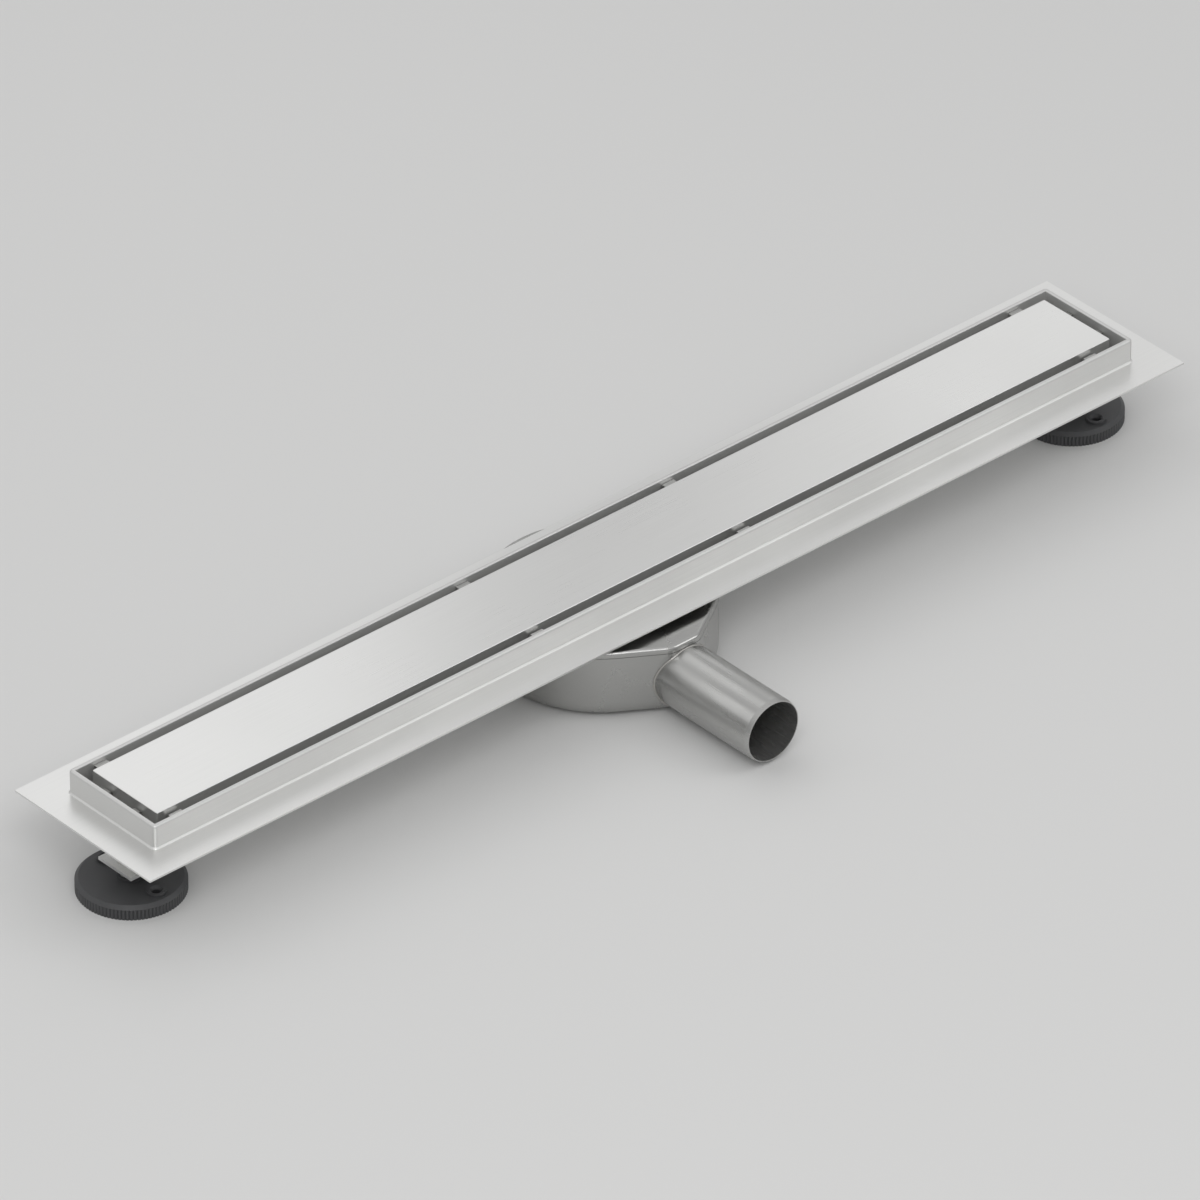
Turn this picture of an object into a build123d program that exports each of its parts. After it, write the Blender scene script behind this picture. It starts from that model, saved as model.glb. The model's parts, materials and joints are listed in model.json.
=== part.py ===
from build123d import *
from math import copysign
import os

os.makedirs("parts", exist_ok=True)

# Linear shower drain, in millimetres. The origin is the middle of the cover's top face, which is the
# finished floor level. +X runs along the channel, +Z is up, and the outlet pipe points to -Y.

# Channel tray and sealing flange
flange_length = 800.0
flange_border = 21.5        # flange that shows outside the rim, the same on all four sides
flange_sheet = 1.2
channel_width = 70.0        # inside the tray
tray_sheet = 1.5
rim_height = 15.5           # top of the rim above the flange
end_depth = 17.0            # tray floor below the rim at both ends
outlet_depth = 19.7         # tray floor below the rim at the outlet
rim_corner = 2.5            # outside radius of the rim's four upright corners
tray_corner = 1.0           # the same below the rim
tray_bend = 2.0             # outside radius where the walls meet the floor
rim_edge = 1.6              # rounding of the rim's folded top edge, outside
rim_inner_edge = 0.8        # and inside
weld_bead = 0.9             # bead at the foot of the rim

# Cover
side_gap = 6.5
end_gap = 7.0
cover_sheet = 1.5
cover_skirt = 10.0          # full height of the cover
cover_corner = 0.8
cover_edge = 0.5

# Cross spacers and end stops
left_spacer_inset = 18.0    # outer spacers from the ends of the channel, at the middle of the strip
right_spacer_inset = 26.0
left_spacer_reach = 76.0    # inner spacers from the outlet's axis
right_spacer_reach = 83.5
spacer_width = 9.0
strip_sheet = 1.2
strip_bend = 1.3            # bend radius at the middle of the sheet
wing_drop = 3.0             # wings below the cover's top face
wall_clearance = 0.3        # between a wing and the wall of the tray
spacer_foot_width = 5.0
spacer_foot_place = 18.0    # from the middle line of the channel
stop_place = 13.0
stop_width = 5.0
stop_length = 4.5
stop_drop = 5.0

# Siphon
outlet_x = -10.0            # axis of the siphon and of the outlet pipe
hole_radius = 30.5          # outlet hole in the tray
collar_sheet = 1.5
collar_depth = 6.0          # drawn collar below the underside of the tray
hole_lead = 1.2
landing = 40.0              # half length of the level floor round the outlet hole
siphon_sheet = 1.2
lip_radius = 69.2
lip_height = 3.8
lip_round = 2.2
nose_proud = 6.3            # front of the nose beyond the round part of the lip
nose_half_width = 18.0
nose_corner = 11.0
siphon_bottom = 67.0        # underside of the bowl below the floor level
seam_gap = 0.3              # between the lip and the shoulder of the bowl
bowl_round = 9.5
fit_clearance = 0.05        # between round pieces that are fitted together

# Outlet pipe
pipe_radius = 20.0
pipe_wall = 1.2
pipe_drop = 45.8            # axis below the floor level
pipe_reach = 150.0          # end of the pipe from the siphon's axis
pipe_lead = 3.0
pipe_lead_step = 0.7
tail_step = 0.3             # the pipe is turned down by this where it is welded into the siphon
tail_land = 1.0             # the full size starts this far in front of the nose

# Trap insert
funnel_flange_radius = 34.0
funnel_flange_sheet = 2.0
funnel_wall = 1.8
funnel_plug_radius = 30.0
funnel_plug_depth = 7.5     # plug below the tray floor
seat_radius = 28.0          # recess that holds the strainer
seat_depth = 1.2
seal_groove_depth = 2.2
seal_height = 3.0
seal_drop = 2.4             # top of the groove below the tray floor
dip_radius = 16.5
dip_end = 55.4              # open end of the dip tube below the floor level
cup_radius = 27.8
cup_wall = 1.8
cup_rim = 36.0              # overflow edge below the floor level
cup_bottom = 63.6
cup_round = 4.0
post_width = 9.0
post_count = 4

# Hair strainer
strainer_sheet = 1.0
strainer_dish_radius = 23.5
strainer_dish_depth = 5.0
strainer_hole = 2.1
strainer_ring_radii = (7.0, 13.0, 18.6)
strainer_ring_count = 6     # holes in the first ring, twice as many in the second, and so on
knob_radius = 4.5
knob_height = 4.5
rivet_radius = 1.8

# Levelling feet and brackets
foot_inset = 35.0           # axis of each foot from the end of the flange
install_height = 68.0       # floor level above the underside of the feet
disc_radius = 32.3
disc_height = 9.0
disc_chamfer = 2.2
rib_count = 90
rib_depth = 0.6
recess_inner = 12.0
recess_outer = 28.5
recess_depth = 5.5
web_count = 8
web_sheet = 2.0
hub_radius = 8.0
hub_rise = 1.6
screw_place = 22.0
screw_radius = 2.5
screw_boss_radius = 6.0
screw_boss_rise = 1.4
screw_sink = 1.4
stud_radius = 4.0
stud_top = 24.0             # upper end of the stud below the floor level
stud_chamfer = 0.8
head_across = 13.0
head_height = 5.3
head_inset = 1.0            # bolt head above the underside of the disc
head_clearance = 0.1
bracket_width = 28.8
bracket_sheet = 2.0
bracket_bend = 3.0          # bend radius at the middle of the sheet
bracket_end_inset = 23.0    # bracket from the end of the flange: its outer end,
bracket_web_inset = 51.0    # its upright web
bracket_pad_inset = 72.0    # and the inner end of its pad under the tray
tab_drop = 48.5             # top of the bracket's tab below the floor level
tab_hole_radius = 4.5
nut_across = 13.0
nut_height = 6.5
nut_chamfer = 0.9
washer_radius = 8.0
washer_bore = 4.2
washer_sheet = 1.6

# Sizes that follow from the ones above
rim_sheet = 2 * tray_sheet                  # the rim is the wall folded back on itself
rim_length = flange_length - 2 * flange_border
rim_width = channel_width + 2 * rim_sheet
flange_width = rim_width + 2 * flange_border
channel_length = rim_length - 2 * rim_sheet
tray_length = channel_length + 2 * tray_sheet
tray_width = channel_width + 2 * tray_sheet
cover_length = channel_length - 2 * end_gap
cover_width = channel_width - 2 * side_gap
spacer_places = (
    left_spacer_inset - channel_length / 2,
    outlet_x - left_spacer_reach,
    outlet_x + right_spacer_reach,
    channel_length / 2 - right_spacer_inset,
)
flange_top = -rim_height
tray_under = -outlet_depth - tray_sheet
plate_under = tray_under - siphon_sheet
collar_radius = hole_radius + collar_sheet
nose_reach = lip_radius + nose_proud
foot_x = flange_length / 2 - foot_inset
bracket_end = flange_length / 2 - bracket_end_inset
bracket_web = flange_length / 2 - bracket_web_inset
bracket_pad_end = flange_length / 2 - bracket_pad_inset
tab_top = -tab_drop
foot_floor = -install_height
disc_top = foot_floor + disc_height
boss_top = disc_top + screw_boss_rise


def export(piece, name):
    piece.part.label = name
    export_step(piece.part, f"parts/{name}.step")


def floor_level(x):
    """Height of the tray's floor, which falls from both ends to the level landing at the outlet."""
    side = copysign(1.0, x - outlet_x)
    run = channel_length / 2 - side * outlet_x - landing
    away = max(abs(x - outlet_x) - landing, 0.0)
    return -outlet_depth + (outlet_depth - end_depth) * away / run


def siphon_level(z):
    """Level plane on the axis of the siphon."""
    return Plane((outlet_x, 0, z))


# Channel tray


def trough_block(length, width, lower, corner, bend):
    """Solid with the outline of the tray and a floor that falls to the outlet, lowered by lower."""
    half = length / 2
    with BuildPart() as block:
        with BuildSketch(Plane.XZ):
            with BuildLine():
                Polyline(
                    (-half, 0),
                    (-half, floor_level(-half) - lower),
                    (outlet_x - landing, -outlet_depth - lower),
                    (outlet_x + landing, -outlet_depth - lower),
                    (half, floor_level(half) - lower),
                    (half, 0),
                    close=True,
                )
            make_face()
        extrude(amount=width / 2, both=True)
        if corner:
            fillet(block.edges().filter_by(Axis.Z), corner)
        if bend:
            sides = block.faces().filter_by(lambda face: abs(face.normal_at().Y) > 0.99)
            long_edges = sides.edges().filter_by(lambda edge: edge.center().Z < -end_depth / 2)
            fillet(long_edges.filter_by(lambda edge: abs(edge.tangent_at(0).X) > 0.99), bend)
    return block.part


tray_outside = trough_block(tray_length, tray_width, tray_sheet, tray_corner, tray_bend)
tray_inside = trough_block(channel_length, channel_width, 0, 0, tray_bend - tray_sheet)

with BuildPart() as channel_tray:
    with BuildSketch():
        RectangleRounded(rim_length, rim_width, rim_corner)
    extrude(amount=-rim_height)
    fillet(channel_tray.edges().group_by(Axis.Z)[-1], rim_edge)
    add(tray_outside)
    with BuildSketch(siphon_level(tray_under)):
        Circle(collar_radius)
    extrude(amount=-collar_depth)
    add(tray_inside, mode=Mode.SUBTRACT)
    rim_top = channel_tray.faces().sort_by(Axis.Z)[-1]
    fillet(rim_top.inner_wires()[0].edges(), rim_inner_edge)
    with BuildSketch(siphon_level(-outlet_depth)):
        Circle(hole_radius)
    extrude(amount=-tray_sheet - collar_depth, mode=Mode.SUBTRACT)
    chamfer(channel_tray.edges(Select.LAST).group_by(Axis.Z)[-1], hole_lead)
export(channel_tray, "channel_tray")

# Sealing flange, with the weld bead at the foot of the rim

with BuildPart() as sealing_flange:
    with BuildSketch(Plane.XY.offset(flange_top)):
        Rectangle(flange_length, flange_width)
    extrude(amount=-flange_sheet)
    with BuildSketch(Plane.XY.offset(flange_top)):
        RectangleRounded(rim_length + 2 * weld_bead, rim_width + 2 * weld_bead, rim_corner + weld_bead)
    extrude(amount=weld_bead, taper=45)
    with BuildSketch(Plane.XY.offset(flange_top)):
        RectangleRounded(rim_length, rim_width, rim_corner)
    extrude(amount=weld_bead, mode=Mode.SUBTRACT)
    with BuildSketch(Plane.XY.offset(flange_top)):
        RectangleRounded(tray_length, tray_width, tray_corner)
    extrude(amount=-flange_sheet, mode=Mode.SUBTRACT)
export(sealing_flange, "sealing_flange")

# Cover, a shallow pan turned over

with BuildPart() as cover_plate:
    with BuildSketch():
        RectangleRounded(cover_length, cover_width, cover_corner)
    extrude(amount=-cover_skirt)
    fillet(cover_plate.edges().group_by(Axis.Z)[-1], cover_edge)
    with BuildSketch(Plane.XY.offset(-cover_skirt)):
        Rectangle(cover_length - 2 * cover_sheet, cover_width - 2 * cover_sheet)
    extrude(amount=cover_skirt - cover_sheet, mode=Mode.SUBTRACT)
export(cover_plate, "cover_plate")

# Cross spacers: bent strips that carry the cover on their web, with a wing in each long gap


def bent_strip(plane, points, width, sheet, bend):
    """Strip of sheet bent along a path, drawn at the middle of the sheet on the given plane."""
    with BuildPart() as strip:
        with BuildLine(plane) as route:
            path = FilletPolyline(*points, radius=bend)
        with BuildSketch(Plane(origin=path @ 0, x_dir=plane.z_dir, z_dir=path % 0)):
            Rectangle(width, sheet)
        sweep(path=path)
    return strip.part


leg_place = cover_width / 2 + strip_bend    # the skirt stands clear of the bend
wing_end = channel_width / 2 - wall_clearance
wing_middle = -wing_drop - strip_sheet / 2
web_middle = -cover_skirt - strip_sheet / 2
web_under = -cover_skirt - strip_sheet

for number, place in enumerate(spacer_places, start=1):
    outer_end = place + copysign(spacer_foot_width / 2, place - outlet_x)
    foot_length = web_under - floor_level(outer_end)
    strip = bent_strip(
        Plane((place, 0, 0), x_dir=(0, 1, 0), z_dir=(1, 0, 0)),
        [
            (-wing_end, wing_middle),
            (-leg_place, wing_middle),
            (-leg_place, web_middle),
            (leg_place, web_middle),
            (leg_place, wing_middle),
            (wing_end, wing_middle),
        ],
        spacer_width,
        strip_sheet,
        strip_bend,
    )
    with BuildPart() as spacer:
        add(strip)
        with BuildSketch(Plane((place, 0, web_under))):
            with Locations((0, -spacer_foot_place), (0, spacer_foot_place)):
                Rectangle(spacer_foot_width, strip_sheet)
        extrude(amount=-foot_length)
        window_middle = spacer_foot_place - (strip_sheet + foot_length) / 2
        with BuildSketch(Plane((place, 0, web_under))):
            with Locations((0, -window_middle), (0, window_middle)):
                Rectangle(spacer_foot_width, foot_length)
        extrude(amount=strip_sheet, mode=Mode.SUBTRACT)
    export(spacer, f"cover_spacer_{number}")

# End stops: bent tabs on the ends of the cover's skirt

stop_leg = cover_length / 2 + strip_sheet / 2
stop_reach = channel_length / 2 - wall_clearance
stop_middle = -stop_drop - strip_sheet / 2
stop_number = 0
for end in (-1, 1):
    for side in (-1, 1):
        stop_number += 1
        tab = bent_strip(
            Plane((0, side * stop_place, 0), x_dir=(1, 0, 0), z_dir=(0, -1, 0)),
            [
                (end * stop_leg, -stop_drop - stop_length),
                (end * stop_leg, stop_middle),
                (end * stop_reach, stop_middle),
            ],
            stop_width,
            strip_sheet,
            strip_bend,
        )
        with BuildPart() as end_stop:
            add(tab)
        export(end_stop, f"end_stop_{stop_number}")

# Siphon: shoulder plate with a rounded lip, and a deep-drawn bowl with a nose for the outlet


def siphon_block(top, height, inset, bottom_round=0.0):
    """Block with the siphon's outline, a circle run into a nose, set in by inset."""
    nose_side = nose_half_width - nose_corner
    nose_middle = nose_corner - nose_reach
    with BuildPart() as block:
        with BuildSketch(siphon_level(top)):
            Circle(lip_radius - inset)
            with Locations((-nose_side, nose_middle), (nose_side, nose_middle)):
                Circle(nose_corner - inset)
            make_hull()
        extrude(amount=-height)
        if bottom_round:
            fillet(block.edges().group_by(Axis.Z)[0], bottom_round)
    return block.part


lip_under = tray_under - lip_height
shoulder = lip_under - seam_gap
lip_block = siphon_block(tray_under, lip_height, 0)
lip_hollow = siphon_block(plate_under, lip_height - siphon_sheet, siphon_sheet)
neck_block = siphon_block(plate_under, plate_under - shoulder, siphon_sheet)
neck_hollow = siphon_block(plate_under, plate_under - shoulder + siphon_sheet, 2 * siphon_sheet)
bowl_height = siphon_bottom + shoulder
bowl_outside = siphon_block(shoulder, bowl_height, 0, bowl_round)
bowl_inside = siphon_block(
    shoulder - siphon_sheet, bowl_height - 2 * siphon_sheet, siphon_sheet, bowl_round - siphon_sheet
)

with BuildPart() as siphon_top_plate:
    add(lip_block)
    fillet(siphon_top_plate.edges().group_by(Axis.Z)[-1], lip_round)
    add(lip_hollow, mode=Mode.SUBTRACT)
    with BuildSketch(siphon_level(tray_under)):
        Circle(collar_radius + fit_clearance)
    extrude(amount=-siphon_sheet, mode=Mode.SUBTRACT)
export(siphon_top_plate, "siphon_top_plate")

tail_radius = pipe_radius - tail_step
pipe_root = nose_reach - 2 * bowl_round    # the pipe is drawn from here, inside the bowl
pipe_start = Plane(origin=(outlet_x, -pipe_root, -pipe_drop), x_dir=(1, 0, 0), z_dir=(0, -1, 0))

with BuildPart() as siphon_bowl:
    add(bowl_outside)
    add(neck_block)
    add(neck_hollow, mode=Mode.SUBTRACT)
    add(bowl_inside, mode=Mode.SUBTRACT)
    with BuildSketch(pipe_start):
        Circle(tail_radius + fit_clearance)
    extrude(amount=pipe_reach - pipe_root, mode=Mode.SUBTRACT)
export(siphon_bowl, "siphon_bowl")

# Outlet pipe, its tail cut to the inside of the bowl, with a lead-in at its open end

with BuildPart() as outlet_pipe:
    with BuildSketch(Plane((outlet_x, 0, -pipe_drop))):
        with BuildLine():
            Polyline(
                (pipe_radius - pipe_wall, -pipe_root),
                (tail_radius, -pipe_root),
                (tail_radius, -nose_reach - tail_land),
                (pipe_radius, -nose_reach - tail_land),
                (pipe_radius, pipe_lead - pipe_reach),
                (pipe_radius - pipe_lead_step, -pipe_reach),
                (pipe_radius - pipe_wall, -pipe_reach),
                close=True,
            )
        make_face()
    revolve(axis=Axis((outlet_x, 0, -pipe_drop), (0, 1, 0)))
    add(bowl_inside, mode=Mode.SUBTRACT)
export(outlet_pipe, "outlet_pipe")

# Trap insert: funnel with its dip tube, cup, ring seal

plug_under = -outlet_depth - funnel_plug_depth
funnel_top = -outlet_depth + funnel_flange_sheet
groove_top = -outlet_depth - seal_drop
groove_radius = funnel_plug_radius - seal_groove_depth
mouth_radius = groove_radius - funnel_wall
cone_height = mouth_radius - (dip_radius - funnel_wall)

with BuildPart() as trap_funnel:
    with BuildSketch(Plane((outlet_x, 0, 0), x_dir=(1, 0, 0), z_dir=(0, -1, 0))):
        with BuildLine():
            Polyline(
                (mouth_radius, funnel_top - seat_depth),
                (seat_radius, funnel_top - seat_depth),
                (seat_radius, funnel_top),
                (funnel_flange_radius, funnel_top),
                (funnel_flange_radius, -outlet_depth),
                (funnel_plug_radius, -outlet_depth),
                (funnel_plug_radius, groove_top),
                (groove_radius, groove_top),
                (groove_radius, groove_top - seal_height),
                (funnel_plug_radius, groove_top - seal_height),
                (funnel_plug_radius, plug_under),
                (mouth_radius, plug_under),
                (dip_radius, plug_under - cone_height),
                (dip_radius, -dip_end),
                (dip_radius - funnel_wall, -dip_end),
                (dip_radius - funnel_wall, plug_under - cone_height),
                (mouth_radius, plug_under + funnel_wall),
                close=True,
            )
        make_face()
    revolve(axis=Axis((outlet_x, 0, 0), (0, 0, 1)))
export(trap_funnel, "trap_funnel")

with BuildPart() as trap_cup:
    with BuildSketch(siphon_level(-cup_bottom)):
        Circle(cup_radius)
    extrude(amount=cup_bottom - cup_rim)
    fillet(trap_cup.edges().group_by(Axis.Z)[0], cup_round)
    with BuildSketch(siphon_level(-cup_rim)):
        with PolarLocations((cup_radius + mouth_radius) / 2, post_count, start_angle=45):
            Rectangle(2 * cup_wall, post_width)
    extrude(amount=cup_rim + plug_under)
    with BuildSketch(siphon_level(plug_under)):
        Circle(2 * cup_radius)
        Circle(cup_radius, mode=Mode.SUBTRACT)
    extrude(amount=-cup_bottom - plug_under, mode=Mode.SUBTRACT)
    with BuildSketch(siphon_level(-cup_bottom + cup_wall)):
        Circle(cup_radius - cup_wall)
    extrude(amount=cup_bottom - cup_wall + plug_under, mode=Mode.SUBTRACT)
export(trap_cup, "trap_cup")

with BuildPart() as trap_seal:
    with BuildSketch(siphon_level(groove_top - seal_height + fit_clearance)):
        Circle(hole_radius - fit_clearance)
        Circle(groove_radius + fit_clearance, mode=Mode.SUBTRACT)
    extrude(amount=seal_height - 2 * fit_clearance)
    seal_rims = trap_seal.edges().filter_by(GeomType.CIRCLE)
    fillet(seal_rims.group_by(SortBy.RADIUS)[-1], seal_height / 4)
export(trap_seal, "trap_seal")

# Hair strainer, a perforated dish with a lifting knob

strainer_top = funnel_top - seat_depth + strainer_sheet
dish_under = strainer_top - strainer_dish_depth

with BuildPart() as hair_strainer:
    with BuildSketch(siphon_level(strainer_top)):
        Circle(seat_radius - fit_clearance)
    extrude(amount=-strainer_sheet)
    with BuildSketch(siphon_level(strainer_top)):
        Circle(strainer_dish_radius)
    extrude(amount=-strainer_dish_depth)
    with BuildSketch(siphon_level(strainer_top)):
        Circle(strainer_dish_radius - strainer_sheet)
    extrude(amount=strainer_sheet - strainer_dish_depth, mode=Mode.SUBTRACT)
    with BuildSketch(siphon_level(dish_under)):
        Circle(rivet_radius + fit_clearance)
        for number, ring_radius in enumerate(strainer_ring_radii, start=1):
            with PolarLocations(ring_radius, number * strainer_ring_count):
                Circle(strainer_hole)
    extrude(amount=strainer_sheet, mode=Mode.SUBTRACT)
export(hair_strainer, "hair_strainer")

with BuildPart() as strainer_knob:
    with BuildSketch(siphon_level(dish_under)):
        Circle(rivet_radius)
    extrude(amount=strainer_sheet)
    with BuildSketch(siphon_level(dish_under + strainer_sheet)):
        Circle(knob_radius)
    extrude(amount=knob_height)
    fillet(strainer_knob.edges().group_by(Axis.Z)[-1], knob_height / 4)
export(strainer_knob, "strainer_knob")

# Levelling feet, brackets, studs, nuts and washers, one set at each end

nut_corner = nut_across / 3 ** 0.5
head_under = foot_floor + head_inset
head_top = head_under + head_height


def hex_nut(x, under, name):
    """Chamfered hexagon nut on the stud, its underside at the given level."""
    with BuildPart() as cone:
        with BuildSketch(Plane((x, 0, under))):
            Circle(nut_corner)
        extrude(amount=nut_height)
        chamfer(cone.edges(), length=nut_chamfer / 2, length2=nut_chamfer / 2)
    with BuildPart() as nut:
        with BuildSketch(Plane((x, 0, under))):
            RegularPolygon(nut_across / 2, 6, major_radius=False)
        extrude(amount=nut_height)
        add(cone.part, mode=Mode.INTERSECT)
        with BuildSketch(Plane((x, 0, under))):
            Circle(stud_radius + fit_clearance)
        extrude(amount=nut_height, mode=Mode.SUBTRACT)
    export(nut, name)


for hand, side in (("left", -1), ("right", 1)):
    x = side * foot_x

    with BuildPart() as disc:
        with BuildSketch(Plane((x, 0, foot_floor))):
            Circle(disc_radius)
        extrude(amount=disc_height)
        chamfer(disc.edges().group_by(Axis.Z)[-1], disc_chamfer)
        with BuildSketch(Plane((x, 0, foot_floor))):
            with PolarLocations(disc_radius, rib_count):
                RegularPolygon(rib_depth, 4)
        extrude(amount=disc_height - disc_chamfer, mode=Mode.SUBTRACT)
        with BuildSketch(Plane((x, 0, disc_top))):
            Circle(hub_radius)
        extrude(amount=hub_rise)
        with BuildSketch(Plane((x, 0, disc_top))):
            with Locations((0, -screw_place), (0, screw_place)):
                Circle(screw_boss_radius)
        extrude(amount=screw_boss_rise)
        with BuildSketch(Plane((x, 0, foot_floor))):
            Circle(recess_outer)
            Circle(recess_inner, mode=Mode.SUBTRACT)
            with PolarLocations(0, web_count // 2):
                Rectangle(2 * recess_outer, web_sheet, mode=Mode.SUBTRACT)
            with Locations((0, -screw_place), (0, screw_place)):
                Circle(screw_boss_radius, mode=Mode.SUBTRACT)
        extrude(amount=recess_depth, mode=Mode.SUBTRACT)
        with Locations((x, -screw_place, boss_top), (x, screw_place, boss_top)):
            CounterSinkHole(screw_radius, screw_radius + screw_sink, depth=disc_height + screw_boss_rise)
        with BuildSketch(Plane((x, 0, foot_floor))):
            Circle(stud_radius + head_clearance)
        extrude(amount=disc_height + hub_rise, mode=Mode.SUBTRACT)
        with BuildSketch(Plane((x, 0, foot_floor))):
            RegularPolygon(head_across / 2 + head_clearance, 6, major_radius=False)
        extrude(amount=head_inset + head_height, mode=Mode.SUBTRACT)
    export(disc, f"foot_disc_{hand}")

    with BuildPart() as stud:
        with BuildSketch(Plane((x, 0, head_under))):
            RegularPolygon(head_across / 2, 6, major_radius=False)
        extrude(amount=head_height)
        with BuildSketch(Plane((x, 0, head_top))):
            Circle(stud_radius)
        extrude(amount=-stud_top - head_top)
        chamfer(stud.edges().group_by(Axis.Z)[-1], stud_chamfer)
    export(stud, f"foot_stud_{hand}")

    pad_top = floor_level(side * bracket_pad_end) - tray_sheet
    bent = bent_strip(
        Plane.XZ,
        [
            (side * bracket_pad_end, pad_top - bracket_sheet / 2),
            (side * bracket_web, pad_top - bracket_sheet / 2),
            (side * bracket_web, tab_top - bracket_sheet / 2),
            (side * bracket_end, tab_top - bracket_sheet / 2),
        ],
        bracket_width,
        bracket_sheet,
        bracket_bend,
    )
    with BuildPart() as bracket:
        add(bent)
        with BuildSketch(Plane((x, 0, tab_top))):
            Circle(tab_hole_radius)
        extrude(amount=-bracket_sheet, mode=Mode.SUBTRACT)
    export(bracket, f"foot_bracket_{hand}")

    with BuildPart() as washer:
        with BuildSketch(Plane((x, 0, tab_top))):
            Circle(washer_radius)
            Circle(washer_bore, mode=Mode.SUBTRACT)
        extrude(amount=washer_sheet)
    export(washer, f"washer_{hand}")

    hex_nut(x, tab_top + washer_sheet, f"upper_nut_{hand}")
    hex_nut(x, tab_top - bracket_sheet - nut_height, f"lower_nut_{hand}")
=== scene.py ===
"""Looks of the linear shower drain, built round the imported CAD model. All sizes are in metres."""

import json
import math

import bmesh
import bpy
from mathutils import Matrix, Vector


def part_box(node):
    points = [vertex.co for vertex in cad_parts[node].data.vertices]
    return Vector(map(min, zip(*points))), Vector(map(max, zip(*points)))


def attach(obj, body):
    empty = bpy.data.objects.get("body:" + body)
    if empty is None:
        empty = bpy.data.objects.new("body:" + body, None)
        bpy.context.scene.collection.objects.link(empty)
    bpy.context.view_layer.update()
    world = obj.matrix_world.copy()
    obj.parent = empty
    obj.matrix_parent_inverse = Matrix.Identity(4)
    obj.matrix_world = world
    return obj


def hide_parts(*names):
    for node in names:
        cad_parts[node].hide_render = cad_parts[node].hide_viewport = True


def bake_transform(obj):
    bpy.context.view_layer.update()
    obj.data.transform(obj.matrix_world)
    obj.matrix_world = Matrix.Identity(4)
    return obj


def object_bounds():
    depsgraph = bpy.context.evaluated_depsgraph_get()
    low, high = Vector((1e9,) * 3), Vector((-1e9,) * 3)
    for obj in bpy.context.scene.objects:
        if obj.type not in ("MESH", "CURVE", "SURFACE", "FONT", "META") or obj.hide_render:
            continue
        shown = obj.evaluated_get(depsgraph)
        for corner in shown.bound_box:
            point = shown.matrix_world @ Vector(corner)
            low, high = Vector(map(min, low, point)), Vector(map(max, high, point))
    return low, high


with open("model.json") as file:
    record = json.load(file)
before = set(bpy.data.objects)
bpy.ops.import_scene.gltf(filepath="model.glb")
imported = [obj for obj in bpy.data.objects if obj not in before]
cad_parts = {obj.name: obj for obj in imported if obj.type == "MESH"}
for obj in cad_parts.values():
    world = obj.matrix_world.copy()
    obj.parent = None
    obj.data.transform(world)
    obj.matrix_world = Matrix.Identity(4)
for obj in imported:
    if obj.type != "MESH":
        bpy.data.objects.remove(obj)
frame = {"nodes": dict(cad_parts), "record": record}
cad_low, cad_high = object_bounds()

# Camera, from the photograph: azimuth 0 looks along +Y
VIEW_AZIMUTH = math.radians(-41.54)
VIEW_ELEVATION = math.radians(34.25)
VIEW_DISTANCE = 8.0
VIEW_END = 50               # nothing is drawn beyond this
LENS_MM = 414.0
AIM_RIGHT = -0.0074         # the frame's middle, seen from the middle of the flange
AIM_UP = -0.0164

# Floor
FLOOR_COLOR = (0.70, 0.70, 0.695)
FLOOR_ROUGHNESS = 0.75
FLOOR_SIZE = 12.0
FLOOR_BEND = 0.32           # each half is cut into strips from the middle to here, just inside the foot
FLOOR_STEPS = 24            # strips between the middle and FLOOR_BEND

# Surrounding light
WORLD_COLOR = (1.0, 1.0, 1.0)
HORIZON_LIGHT = 0.45        # strength at the horizon
ZENITH_LIGHT = 0.75         # and overhead
CLIMB_START = 0.2           # sine of the elevation where it begins to rise
CLIMB_END = 1.0

# Soft lamps: name, place, target, width, height, watts
MIDDLE = (0, 0, 0)
LAMPS = (
    ("key", (-1.3, -1.5, 2.0), MIDDLE, 1.4, 1.4, 18),
    ("front_right", (1.3, -1.35, 1.5), MIDDLE, 1.0, 1.0, 5),
    ("behind_left", (-1.25, 1.35, 1.2), MIDDLE, 1.0, 1.0, 1.5),
    ("back_left", (0.22, 0.80, 0.75), (-0.30, 0, 0), 0.5, 0.7, 0.5),
    ("back_right", (1.18, 0.80, 0.75), (0.40, 0, 0), 0.5, 0.7, 0.4),
)

# Sizes of the CAD that the materials and the pieces made here follow
WELD_FOOT = -0.0154         # just above the flange's top
COVER_SKIRT_TOP = -0.0008   # just below the cover's top
COVER_REACH = 1.0           # beyond the cover on every side
TRAY_TOP = 0.001            # just above the rim
TRAY_HALF_LENGTH = 0.3757   # just behind the tray's inner walls
TRAY_HALF_WIDTH = 0.0352
END_STOPS = 4
PIPE_WALL = 0.0012
HEAD_HEIGHT = 0.0053
NOSE_FLAT = 0.007           # half of the nose's flat front
NOSE_CORNER = 0.011
NOSE_REACH = 0.0755         # from the siphon's axis
NOSE_TANGENT = 0.0129       # where the nose's corner runs into its straight side
NOSE_NORMAL = (0.536, 0.844)
SIPHON_RADIUS = 0.0692
BOWL_ROUND = 0.0095

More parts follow.
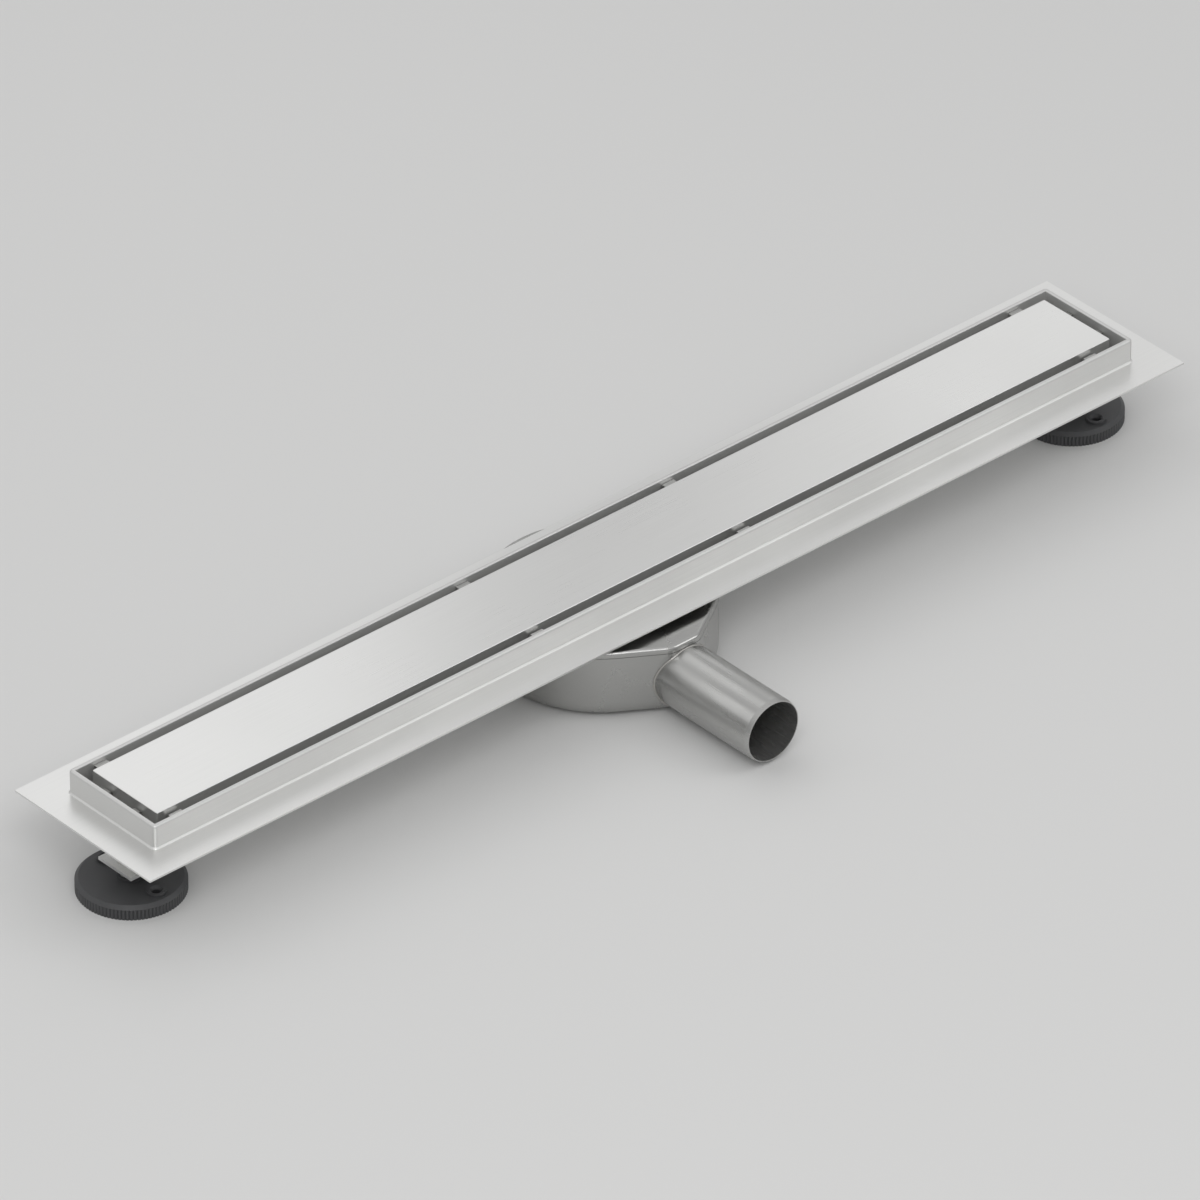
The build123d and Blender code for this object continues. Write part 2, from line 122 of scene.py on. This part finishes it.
# Thread and weld
HEAD_CHAMFER = 0.0006
THREAD_PITCH = 0.00125
THREAD_ROOT = 0.00335
THREAD_CREST = 0.00395
THREAD_SLOPE = 2.6          # steepness of the flanks
THREAD_FLAT = 0.15          # makes the root wider
THREAD_START = 2            # turns in which the thread deepens above the head
THREAD_ROWS = 8             # rows in each turn
THREAD_SIDES = 32
WELD_RADIUS = 0.0009
WELD_SINK = 0.0003
WELD_STEPS = 360
WELD_RIPPLES = 90
WELD_SIDES = 8
WELD_THIN = 0.9             # thickness between two ripples, as a share of the radius
WELD_SWELL = 0.12           # and what a ripple adds


def look_from(azimuth, elevation):
    """Direction from the object to a viewer."""
    flat = math.cos(elevation)
    return Vector((math.sin(azimuth) * flat, -math.cos(azimuth) * flat, math.sin(elevation)))


def make_camera():
    back = look_from(VIEW_AZIMUTH, VIEW_ELEVATION)
    right = Vector((0, 0, 1)).cross(back).normalized()
    up = back.cross(right)
    flange_low, flange_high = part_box("sealing_flange")
    aim = (flange_low + flange_high) / 2 + right * AIM_RIGHT + up * AIM_UP
    data = bpy.data.cameras.new("camera")
    data.lens = LENS_MM
    data.clip_end = VIEW_END
    camera = bpy.data.objects.new("camera", data)
    camera.location = aim + back * VIEW_DISTANCE
    camera.rotation_mode = "QUATERNION"
    camera.rotation_quaternion = (-back).to_track_quat("-Z", "Y")
    bpy.context.scene.collection.objects.link(camera)
    bpy.context.scene.camera = camera


# Shader nodes. The owner is a material or the world

MIDDLE_OF_NOISE = (0.3, 0.7)
NOISE_ROUGHNESS = 0.55
MIX_LOW, MIX_HIGH, MIX_RESULT = 6, 7, 2     # the colour sockets of a Mix node


def node(owner, kind, **values):
    """A new shader node, with its properties and the numbers of its inputs."""
    made = owner.node_tree.nodes.new(kind)
    for name, value in values.items():
        if name in made.inputs:
            made.inputs[name].default_value = value
        else:
            setattr(made, name, value)
    return made


def join(owner, source, output, target, socket):
    owner.node_tree.links.new(source.outputs[output], target.inputs[socket])


def map_range(owner, start, end, low, high):
    """Takes the range from start to end to the range from low to high."""
    made = node(owner, "ShaderNodeMapRange")
    limits = (("From Min", start), ("From Max", end), ("To Min", low), ("To Max", high))
    for socket, value in limits:
        made.inputs[socket].default_value = value
    return made


def compare(owner, source, axis, operation, limit):
    """1 where a coordinate is beyond a limit, else 0."""
    made = node(owner, "ShaderNodeMath", operation=operation)
    made.inputs[1].default_value = limit
    join(owner, source, axis, made, 0)
    return made


def noise(material, stretch, detail):
    """Noise in the object's own metres. The stretch is its waves per metre along X, Y and Z."""
    place = node(material, "ShaderNodeTexCoord")
    scale = node(material, "ShaderNodeMapping")
    scale.inputs["Scale"].default_value = stretch
    made = node(
        material, "ShaderNodeTexNoise", Scale=1.0, Detail=detail, Roughness=NOISE_ROUGHNESS
    )
    join(material, place, "Object", scale, "Vector")
    join(material, scale, "Vector", made, "Vector")
    return made


def spread(material, source, low, high):
    """The middle of a noise, taken to a range."""
    made = map_range(material, *MIDDLE_OF_NOISE, low, high)
    join(material, source, "Fac", made, "Value")
    return made


# Materials


def start_material(name, color, roughness, metallic=0.0):
    material = bpy.data.materials.new(name)
    material.use_nodes = True
    shader = material.node_tree.nodes["Principled BSDF"]
    shader.inputs["Base Color"].default_value = (*color, 1)
    shader.inputs["Roughness"].default_value = roughness
    shader.inputs["Metallic"].default_value = metallic
    return material, shader


def shade(material, shader, source, color, change):
    """Base colour that varies by a share of itself with a noise."""
    mix = node(material, "ShaderNodeMix", data_type="RGBA")
    dark = [value * (1 - change) for value in color]
    light = [min(value * (1 + change), 1) for value in color]
    mix.inputs[MIX_LOW].default_value = (*dark, 1)
    mix.inputs[MIX_HIGH].default_value = (*light, 1)
    join(material, spread(material, source, 0, 1), "Result", mix, 0)
    join(material, mix, MIX_RESULT, shader, "Base Color")


def bump(material, shader, heights):
    """Bumps laid over each other, each a noise with its depth in metres."""
    last = None
    for source, depth in heights:
        made = node(material, "ShaderNodeBump", Distance=depth)
        join(material, source, "Fac", made, "Height")
        if last:
            join(material, last, "Normal", made, "Normal")
        last = made
    join(material, last, "Normal", shader, "Normal")


def sheet_steel(
    name,
    color,
    roughness,
    lines,
    metallic=1.0,
    grind=0.04,
    mottle=0.05,
    line_depth=6e-7,
    wave=0.0,
    cloud=(9, 9, 9),
):
    """Stainless sheet: fine ground lines, a slow cloudy change of gloss, and a slight wave.

    lines and cloud are the stretches of the two noises. grind is how much the lines change the
    gloss and the colour, mottle how much the clouds change the gloss, line_depth and wave are
    the depths of the bumps.
    """
    material, shader = start_material(name, color, roughness, metallic)
    ground = noise(material, lines, detail=4)
    slow = noise(material, cloud, detail=2)
    gloss = node(material, "ShaderNodeMath", operation="ADD")
    lined = spread(material, ground, roughness - grind, roughness + grind)
    clouded = spread(material, slow, -mottle, mottle)
    join(material, lined, "Result", gloss, 0)
    join(material, clouded, "Result", gloss, 1)
    join(material, gloss, 0, shader, "Roughness")
    shade(material, shader, ground, color, grind)
    heights = [(ground, line_depth)]
    if wave:
        heights.append((slow, wave))
    bump(material, shader, heights)
    return material


def moulded(name, color, roughness, grain, depth):
    """Moulded plastic or rubber with an even fine grain and faint flow marks."""
    material, shader = start_material(name, color, roughness)
    fine = noise(material, (grain,) * 3, detail=2)
    flow = noise(material, FLOW_STRETCH, detail=3)
    gloss = spread(material, flow, roughness - FLOW_GLOSS, roughness + FLOW_GLOSS)
    join(material, gloss, "Result", shader, "Roughness")
    shade(material, shader, flow, color, FLOW_SHADE)
    bump(material, shader, [(fine, depth)])
    return material


def rougher_above(material, height, more):
    """More roughness above a height, for the weld on the flange."""
    shader = material.node_tree.nodes["Principled BSDF"]
    before = shader.inputs["Roughness"].links[0].from_node
    place = node(material, "ShaderNodeTexCoord")
    split = node(material, "ShaderNodeSeparateXYZ")
    join(material, place, "Object", split, 0)
    above = compare(material, split, "Z", "GREATER_THAN", height)
    total = node(material, "ShaderNodeMath", operation="MULTIPLY_ADD")
    total.inputs[1].default_value = more
    join(material, above, 0, total, 0)
    join(material, before, 0, total, 2)
    join(material, total, 0, shader, "Roughness")


def dull_pipe(material, axis, radius, metallic):
    """Duller metal within a radius of an axis along Y, for the inside of a pipe."""
    shader = material.node_tree.nodes["Principled BSDF"]
    place = node(material, "ShaderNodeTexCoord")
    flat = node(material, "ShaderNodeVectorMath", operation="MULTIPLY")
    away = node(material, "ShaderNodeVectorMath", operation="DISTANCE")
    flat.inputs[1].default_value = (1, 0, 1)
    away.inputs[1].default_value = (axis.x, 0, axis.z)
    made = map_range(material, radius, radius + PIPE_EDGE, metallic, 1.0)
    join(material, place, "Object", flat, 0)
    join(material, flat, "Vector", away, 0)
    join(material, away, "Value", made, "Value")
    join(material, made, "Result", shader, "Metallic")


def dull_gap(material, half_length, half_width, top, metallic):
    """Duller metal within a box round the frame's origin and below a height.

    It is for the walls that the gaps round the cover show.
    """
    shader = material.node_tree.nodes["Principled BSDF"]
    place = node(material, "ShaderNodeTexCoord")
    away = node(material, "ShaderNodeVectorMath", operation="ABSOLUTE")
    sizes = node(material, "ShaderNodeSeparateXYZ")
    split = node(material, "ShaderNodeSeparateXYZ")
    flat = node(material, "ShaderNodeMath", operation="MULTIPLY")
    both = node(material, "ShaderNodeMath", operation="MULTIPLY")
    made = map_range(material, 0, 1, shader.inputs["Metallic"].default_value, metallic)
    join(material, place, "Object", away, 0)
    join(material, away, "Vector", sizes, 0)
    join(material, place, "Object", split, 0)
    join(material, compare(material, sizes, "X", "LESS_THAN", half_length), 0, flat, 0)
    join(material, compare(material, sizes, "Y", "LESS_THAN", half_width), 0, flat, 1)
    join(material, compare(material, split, "Z", "LESS_THAN", top), 0, both, 1)
    join(material, flat, 0, both, 0)
    join(material, both, 0, made, "Value")
    join(material, made, "Result", shader, "Metallic")


# Stretches of the ground lines
ALONG_X = (14, 2600, 2600)
ALONG_Y = (2600, 14, 2600)
EVEN = (900, 900, 900)

# Flow marks of the moulded pieces
FLOW_STRETCH = (30, 30, 12)
FLOW_GLOSS = 0.06
FLOW_SHADE = 0.12

WELD_ROUGHER = 0.28
SKIRT_METAL = 0.87
TRAY_METAL = 0.72           # inside the tray
BORE_METAL = 0.85           # inside the pipe
PIPE_EDGE = 1e-4

# Colour, roughness and ground lines, then what differs from the usual sheet
STEELS = {
    "cover_steel": (
        ((0.80, 0.80, 0.79), 0.30, ALONG_X),
        dict(grind=0.025, mottle=0.02, line_depth=4e-7),
    ),
    "channel_steel": (((0.70, 0.70, 0.69), 0.44, ALONG_X), dict(metallic=0.8)),
    "flange_steel": (((0.80, 0.80, 0.79), 0.34, ALONG_X), dict(grind=0.02, mottle=0.03)),
    "strip_steel": (((0.50, 0.50, 0.49), 0.40, ALONG_Y), {}),
    # The end stops' dark colour is painted shade: it makes them look as if they lay in shadow.
    "stop_steel_painted_shade": (((0.34, 0.34, 0.33), 0.50, ALONG_X), {}),
    # The bowl's dark colour is painted shade: it stands in for dark surroundings reflected in its
    # walls.
    "siphon_steel": (
        ((0.46, 0.46, 0.45), 0.30, EVEN),
        dict(grind=0.01, mottle=0.08, line_depth=1e-7, wave=2e-4, cloud=(22, 22, 14)),
    ),
    # The pipe's dark colour is painted shade, set against the lamps' highlights and dark
    # reflections.
    "pipe_steel": (
        ((0.48, 0.48, 0.47), 0.28, ALONG_Y),
        dict(grind=0.02, mottle=0.09, line_depth=2e-7, wave=6e-5, cloud=(70, 22, 70)),
    ),
    "weld_steel": (((0.50, 0.49, 0.47), 0.36, EVEN), dict(mottle=0.08)),
    "strainer_steel": (((0.66, 0.66, 0.65), 0.30, EVEN), {}),
    # The bracket's light colour is painted light: it lifts the shadow that the flange casts on it.
    "bracket_steel": (((0.84, 0.84, 0.83), 0.42, ALONG_X), dict(metallic=0.8)),
    "fastener_steel": (((0.62, 0.62, 0.60), 0.34, EVEN), dict(mottle=0.08)),
}

# Colour, roughness, grains per metre and their depth
PLASTICS = {
    "trap_plastic": ((0.24, 0.25, 0.26), 0.5, 2500, 1e-5),
    "foot_plastic": ((0.066, 0.067, 0.070), 0.52, 1600, 2e-5),
    "seal_rubber": ((0.025, 0.025, 0.025), 0.7, 2500, 1e-5),
}

finish = {name: sheet_steel(name, *usual, **other) for name, (usual, other) in STEELS.items()}
finish.update({name: moulded(name, *values) for name, values in PLASTICS.items()})


def dress(obj, material):
    obj.data.materials.clear()
    obj.data.materials.append(material)


# The slots of the CAD's nodes are names of finishes. The pipe and the end stops get their own
for part in frame["record"]["subparts"]:
    dress(frame["nodes"][part["node"]], finish[part["material_slot"]])
dress(frame["nodes"]["outlet_pipe"], finish["pipe_steel"])
# The end stops get a finish darkened with painted shade.
for number in range(1, END_STOPS + 1):
    dress(frame["nodes"][f"end_stop_{number}"], finish["stop_steel_painted_shade"])

pipe_low, pipe_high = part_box("outlet_pipe")
pipe_axis = (pipe_low + pipe_high) / 2
pipe_radius = (pipe_high.x - pipe_low.x) / 2
rougher_above(finish["flange_steel"], WELD_FOOT, WELD_ROUGHER)
dull_gap(finish["cover_steel"], COVER_REACH, COVER_REACH, COVER_SKIRT_TOP, SKIRT_METAL)
dull_gap(finish["channel_steel"], TRAY_HALF_LENGTH, TRAY_HALF_WIDTH, TRAY_TOP, TRAY_METAL)
dull_pipe(finish["pipe_steel"], pipe_axis, pipe_radius - PIPE_WALL / 2, BORE_METAL)

# Pieces made here


def finished(name, mesh, material, body):
    """Object from a bmesh, smooth, dressed and riding on a body."""
    bmesh.ops.recalc_face_normals(mesh, faces=mesh.faces)
    data = bpy.data.meshes.new(name)
    mesh.to_mesh(data)
    mesh.free()
    data.shade_smooth()
    made = bpy.data.objects.new(name, data)
    bpy.context.scene.collection.objects.link(made)
    dress(made, material)
    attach(made, body)
    return made


def loop_at(mesh, points):
    return [mesh.verts.new(point) for point in points]


def bridge(mesh, first, second):
    """Faces between two closed loops with the same number of corners."""
    count = len(first)
    for i in range(count):
        after = (i + 1) % count
        mesh.faces.new((first[i], first[after], second[after], second[i]))


def skin(mesh, rings):
    """Closed shell through a row of rings."""
    for first, second in zip(rings, rings[1:]):
        bridge(mesh, first, second)
    mesh.faces.new(rings[0])
    mesh.faces.new(rings[-1])


def threaded_stud(side):
    """Hexagon bolt with a rolled thread, in the place of the plain one."""
    low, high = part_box(f"foot_stud_{side}")
    middle = (low + high) / 2
    shank_low = low.z + HEAD_HEIGHT
    corner = (high.x - low.x) / 2
    mesh = bmesh.new()

    def ring(z, radius_at, count):
        loop = []
        for i in range(count):
            angle = math.tau * i / count
            radius = radius_at(z, angle)
            x = middle.x + radius * math.cos(angle)
            y = middle.y + radius * math.sin(angle)
            loop.append((x, y, z))
        return loop_at(mesh, loop)

    def hexagon(z, inset):
        return ring(z, lambda height, angle: corner - inset, 6)

    def thread(z, angle):
        turn = (z / THREAD_PITCH - angle / math.tau) % 1
        flank = min(max(THREAD_SLOPE * abs(turn - 0.5) - THREAD_FLAT, 0), 1)
        end = (high.z - z) / THREAD_PITCH
        start = (z - shank_low) / (THREAD_START * THREAD_PITCH)
        return THREAD_ROOT + (THREAD_CREST - THREAD_ROOT) * flank * max(min(end, start, 1), 0)

    skin(mesh, [
        hexagon(low.z, HEAD_CHAMFER),
        hexagon(low.z + HEAD_CHAMFER / 2, 0),
        hexagon(shank_low - HEAD_CHAMFER / 2, 0),
        hexagon(shank_low, HEAD_CHAMFER),
    ])
    length = high.z - shank_low
    rows = round(length / THREAD_PITCH * THREAD_ROWS)
    skin(mesh, [
        ring(shank_low + length * row / rows, thread, THREAD_SIDES) for row in range(rows + 1)
    ])
    material = finish["fastener_steel"]
    stud = finished(f"threaded_stud_{side}", mesh, material, f"{side}_foot")
    for polygon in stud.data.polygons:
        if len(polygon.vertices) != 4 or polygon.center.z < shank_low:
            polygon.use_smooth = False
    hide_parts(f"foot_stud_{side}")


def front_of_siphon(x, z):
    """Y of the bowl's front at a distance from the pipe's axis, with its rounded lower edge."""
    x = abs(x)
    if x <= NOSE_FLAT:
        y = -NOSE_REACH
    elif x <= NOSE_TANGENT:
        y = NOSE_CORNER - NOSE_REACH - math.sqrt(NOSE_CORNER ** 2 - (x - NOSE_FLAT) ** 2)
    else:
        y = -(SIPHON_RADIUS - NOSE_NORMAL[0] * x) / NOSE_NORMAL[1]
    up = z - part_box("siphon_bowl")[0].z
    if up < BOWL_ROUND:
        y += BOWL_ROUND - math.sqrt(max(BOWL_ROUND ** 2 - (BOWL_ROUND - up) ** 2, 0))
    return y


def pipe_weld():
    """Weld bead where the pipe enters the bowl, laid in small overlapping ripples."""
    mesh = bmesh.new()
    turns = [math.tau * j / WELD_SIDES for j in range(WELD_SIDES)]
    loops = []
    for i in range(WELD_STEPS):
        angle = math.tau * i / WELD_STEPS
        out = Vector((math.sin(angle), 0, math.cos(angle)))
        point = pipe_axis + out * (pipe_radius - WELD_SINK)
        point.y = front_of_siphon(point.x - pipe_axis.x, point.z)
        ripple = abs(math.sin(angle * WELD_RIPPLES / 2))
        thick = WELD_RADIUS * (WELD_THIN + WELD_SWELL * ripple)
        loops.append(loop_at(mesh, [
            point + (out * math.cos(a) + Vector((0, -math.sin(a), 0))) * thick for a in turns
        ]))
    for first, second in zip(loops, loops[1:] + loops[:1]):
        bridge(mesh, first, second)
    finished("pipe_weld", mesh, finish["weld_steel"], "channel")


threaded_stud("left")
threaded_stud("right")
pipe_weld()

# Floor, world and lamps


def make_floor():
    """Floor in two halves that are level at rest.

    Each is cut into strips from the middle to just inside its foot.
    """
    material = start_material("floor", FLOOR_COLOR, FLOOR_ROUGHNESS)[0]
    half = FLOOR_SIZE / 2
    for body, side in (("left_foot", -1), ("right_foot", 1)):
        stations = [side * FLOOR_BEND * step / FLOOR_STEPS for step in range(FLOOR_STEPS + 1)]
        stations.append(side * half)
        mesh = bmesh.new()
        front = loop_at(mesh, [(x, -half, cad_low.z) for x in stations])
        back = loop_at(mesh, [(x, half, cad_low.z) for x in stations])
        for step in range(len(stations) - 1):
            corners = [front[step], front[step + 1], back[step + 1], back[step]]
            face = mesh.faces.new(corners if side > 0 else corners[::-1])
            face.smooth = True
        data = bpy.data.meshes.new(f"floor_{body}")
        mesh.to_mesh(data)
        mesh.free()
        data.materials.append(material)
        floor = bpy.data.objects.new(f"floor_{body}", data)
        bpy.context.scene.collection.objects.link(floor)
        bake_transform(floor)


def make_world():
    """White light from all round, weaker towards the horizon."""
    world = bpy.data.worlds.new("world")
    bpy.context.scene.world = world
    world.use_nodes = True
    light = world.node_tree.nodes["Background"]
    light.inputs["Color"].default_value = (*WORLD_COLOR, 1)
    direction = node(world, "ShaderNodeTexCoord")
    split = node(world, "ShaderNodeSeparateXYZ")
    climb = map_range(world, CLIMB_START, CLIMB_END, HORIZON_LIGHT, ZENITH_LIGHT)
    climb.interpolation_type = "SMOOTHSTEP"
    join(world, direction, "Generated", split, 0)
    join(world, split, "Z", climb, "Value")
    join(world, climb, "Result", light, "Strength")


def soft_lamp(name, place, target, width, height, watts):
    data = bpy.data.lights.new(name, "AREA")
    data.shape = "RECTANGLE"
    data.size = width
    data.size_y = height
    data.energy = watts
    lamp = bpy.data.objects.new(name, data)
    lamp.location = place
    lamp.rotation_mode = "QUATERNION"
    lamp.rotation_quaternion = (Vector(target) - Vector(place)).to_track_quat("-Z", "Y")
    lamp.visible_camera = False
    bpy.context.scene.collection.objects.link(lamp)


make_camera()
make_floor()
make_world()
for lamp_values in LAMPS:
    soft_lamp(*lamp_values)

bpy.context.scene.view_settings.view_transform = "Standard"
